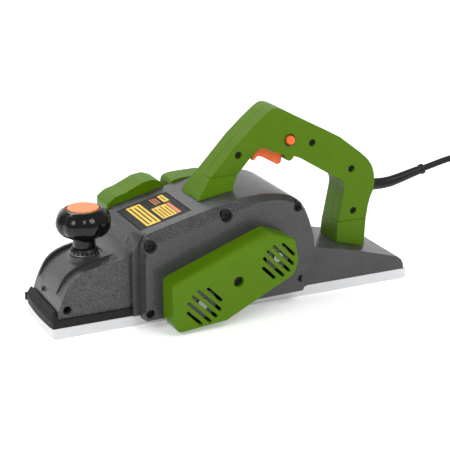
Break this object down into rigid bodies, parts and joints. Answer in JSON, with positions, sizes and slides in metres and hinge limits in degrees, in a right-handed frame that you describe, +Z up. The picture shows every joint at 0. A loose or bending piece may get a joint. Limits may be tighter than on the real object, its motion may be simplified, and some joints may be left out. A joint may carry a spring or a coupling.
{
  "type": "handheld power planer",
  "caption": "Corded hand-held electric planer with cast grey housing, green bow handle, depth knob on an adjustable front shoe, belt-driven cutter drum and plug.",
  "frame": {"origin": "bottom centre of the tool without its lead, on the sole plane", "axes": "+X along the sole towards the rear and the lead, +Y towards the chip outlet, +Z up; the belt side is -Y"},
  "size_m": [0.7115, 0.1736, 0.2015],
  "materials": {
    "hammertone": "cast alloy under dark grey hammertone paint, semi gloss, fine speckle",
    "green": "moulded green nylon, satin with a fine grain",
    "orange": "moulded orange plastic, smooth",
    "alloy": "fine machined aluminium, satin",
    "black": "moulded black plastic, satin",
    "gloss_black": "polished black plastic",
    "skirt": "black moulded band, matt",
    "steel": "ground or turned steel",
    "belt": "ribbed rubber, matt",
    "copper": "copper windings and bars",
    "label": "dark printed plate with plain yellow blocks, no lettering",
    "cord": "smooth black rubber sheath"
  },
  "bodies": {
    "housing": {"main_body": "hammertone", "side_cover": "hammertone", "side_cover_screw_1": "steel", "side_cover_screw_2": "steel", "side_cover_screw_3": "steel", "side_cover_screw_4": "steel", "side_cover_screw_5": "steel", "belt_cover": "green", "belt_cover_screw": "steel", "drive_belt": "belt", "rear_sole": "alloy", "rear_sole_screw_1": "steel", "rear_sole_screw_2": "steel", "rating_plate": "label", "drum_bearing_left": "steel", "drum_bearing_right": "steel", "drum_bearing_cap": "black", "stator": "steel", "motor_bearing_left": "steel", "motor_bearing_right": "steel", "brush_holder_front": "copper", "brush_holder_rear": "copper", "motor_end_cover": "green", "end_cover_screw_1": "steel", "end_cover_screw_2": "steel", "chip_chute": "green", "knob_washer": "steel", "handle_right": "green", "handle_left": "green", "handle_screw_1": "steel", "handle_screw_2": "steel", "handle_screw_3": "steel", "handle_screw_4": "steel", "switch_body": "black", "strain_relief": "black", "cord_tube": "cord", "cord_coil": "cord", "plug_body": "black", "plug_pin_1": "steel", "plug_pin_2": "steel"},
    "knob": {"depth_knob": "gloss_black", "knob_cap": "orange", "depth_scale_ring": "black", "depth_spindle": "steel"},
    "shoe": {"front_shoe": "alloy", "shoe_skirt": "skirt"},
    "drum": {"cutter_drum": "steel", "knife_1": "steel", "knife_2": "steel", "knife_clamp_1": "steel", "knife_clamp_2": "steel", "cutter_pulley": "alloy"},
    "armature": {"armature_shaft": "steel", "armature_core": "copper", "commutator": "copper", "cooling_fan": "black", "motor_pulley": "alloy"},
    "trigger": {"trigger": "orange"},
    "lock": {"lock_button": "orange"}
  },
  "joints": [
    {"name": "knob_turn", "type": "hinge", "parent": "housing", "child": "knob", "pos_m": [-0.1509, 0, 0.1], "axis": [0, 0, 1], "range_deg": [0, 270]},
    {"name": "shoe_depth", "type": "slide", "parent": "housing", "child": "shoe", "axis": [0, 0, 1], "range_m": [0, 0.003]},
    {"name": "drum_spin", "type": "hinge", "parent": "housing", "child": "drum", "pos_m": [-0.0572, 0, 0.0283], "axis": [0, 1, 0], "continuous": true},
    {"name": "armature_spin", "type": "hinge", "parent": "housing", "child": "armature", "pos_m": [0.0261, 0, 0.065], "axis": [0, 1, 0], "continuous": true},
    {"name": "trigger_pull", "type": "hinge", "parent": "housing", "child": "trigger", "pos_m": [0.0321, 0, 0.147], "axis": [0, -1, 0], "range_deg": [0, 8], "stiffness_Nm_per_rad": 0.4},
    {"name": "lock_press", "type": "slide", "parent": "housing", "child": "lock", "axis": [0, 1, 0], "range_m": [0, 0.003], "stiffness_N_per_m": 300}
  ],
  "couplings": [
    {"joint": "knob_turn", "follows": "shoe_depth", "rad_per_m": 1570.8},
    {"joint": "armature_spin", "follows": "drum_spin", "ratio": 1.1923}
  ]
}
